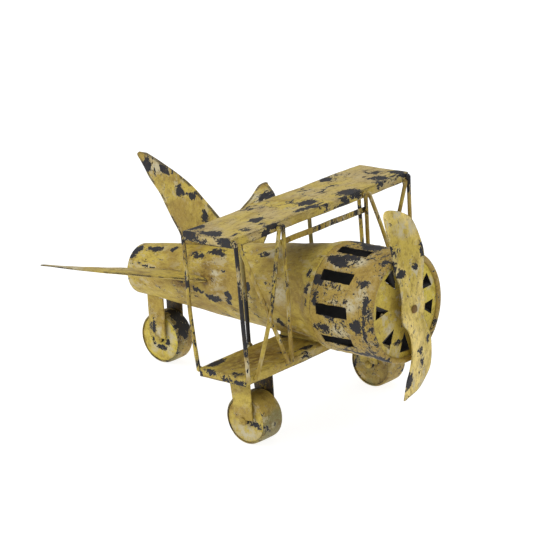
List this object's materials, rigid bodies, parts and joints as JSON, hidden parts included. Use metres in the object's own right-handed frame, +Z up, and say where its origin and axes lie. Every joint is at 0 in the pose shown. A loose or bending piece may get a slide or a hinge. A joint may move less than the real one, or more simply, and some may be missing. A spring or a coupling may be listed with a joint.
{
  "type": "toy airplane",
  "caption": "Decorative sheet-metal biplane toy with tapered tube fuselage, slotted drum cowl, boxed wings on wire struts, turning propeller and rolling wheels, in worn yellow paint.",
  "frame": {"origin": "on the ground, below the centre of the bounding box", "axes": "+X towards the nose, +Y towards the left wing tip, +Z up; the airframe is pitched nose-up by 5.3 degrees"},
  "size_m": [0.408, 0.3794, 0.2657],
  "materials": {
    "yellow_paint": "chipped satin yellow enamel over dark undercoat",
    "tan_paint": "faded khaki yellow enamel with scuffs",
    "dark_iron": "dark blue-black undercoat, satin",
    "rusty_iron": "rusty brown iron, rough"
  },
  "bodies": {
    "airframe": {"fuselage_tube": "yellow_paint", "tail_cap": "tan_paint", "cowl_drum": "yellow_paint", "cowl_bulkhead": "dark_iron", "cowl_lip": "yellow_paint", "cowl_face": "yellow_paint", "upper_wing_skin": "tan_paint", "upper_wing_underside": "tan_paint", "lower_wing_skin": "yellow_paint", "lower_wing_underside": "yellow_paint", "wing_saddle": "yellow_paint", "cross_bar": "yellow_paint", "vertical_fin": "yellow_paint", "propeller_pin": "rusty_iron", "propeller_spacer": "yellow_paint", "stabilizer_left": "yellow_paint", "stabilizer_right": "yellow_paint", "front_outer_strut_left": "yellow_paint", "front_inner_strut_left": "yellow_paint", "rear_outer_strut_left": "yellow_paint", "rear_inner_strut_left": "dark_iron", "falling_brace_left": "yellow_paint", "rising_brace_left": "yellow_paint", "front_outer_strut_right": "yellow_paint", "front_inner_strut_right": "yellow_paint", "rear_outer_strut_right": "yellow_paint", "rear_inner_strut_right": "dark_iron", "falling_brace_right": "yellow_paint", "rising_brace_right": "yellow_paint", "left_fork_outer_leg": "yellow_paint", "left_fork_inner_leg": "yellow_paint", "left_wheel_axle": "yellow_paint", "right_fork_outer_leg": "yellow_paint", "right_fork_inner_leg": "yellow_paint", "right_wheel_axle": "yellow_paint", "tail_fork_outer_leg": "yellow_paint", "tail_fork_inner_leg": "yellow_paint", "tail_wheel_axle": "yellow_paint"},
    "propeller": {"propeller": "yellow_paint"},
    "left_wheel": {"left_wheel_tread": "yellow_paint", "left_wheel_outer_disc": "yellow_paint", "left_wheel_inner_disc": "yellow_paint", "left_wheel_hub": "dark_iron"},
    "right_wheel": {"right_wheel_tread": "yellow_paint", "right_wheel_outer_disc": "yellow_paint", "right_wheel_inner_disc": "yellow_paint", "right_wheel_hub": "dark_iron"},
    "tail_wheel": {"tail_wheel_tread": "yellow_paint", "tail_wheel_outer_disc": "yellow_paint", "tail_wheel_inner_disc": "yellow_paint", "tail_wheel_hub": "dark_iron"}
  },
  "joints": [
    {"name": "propeller_spin", "type": "hinge", "parent": "airframe", "child": "propeller", "pos_m": [0.19738, 0, 0.15456], "axis": [0.9957, 0, 0.0924], "continuous": true},
    {"name": "left_wheel_roll", "type": "hinge", "parent": "airframe", "child": "left_wheel", "pos_m": [0.0673, 0.1073, 0.028], "axis": [0, 1, 0], "continuous": true},
    {"name": "right_wheel_roll", "type": "hinge", "parent": "airframe", "child": "right_wheel", "pos_m": [0.0673, -0.1073, 0.028], "axis": [0, 1, 0], "continuous": true},
    {"name": "tail_wheel_roll", "type": "hinge", "parent": "airframe", "child": "tail_wheel", "pos_m": [-0.1594, 0, 0.03], "axis": [0, 1, 0], "continuous": true}
  ]
}
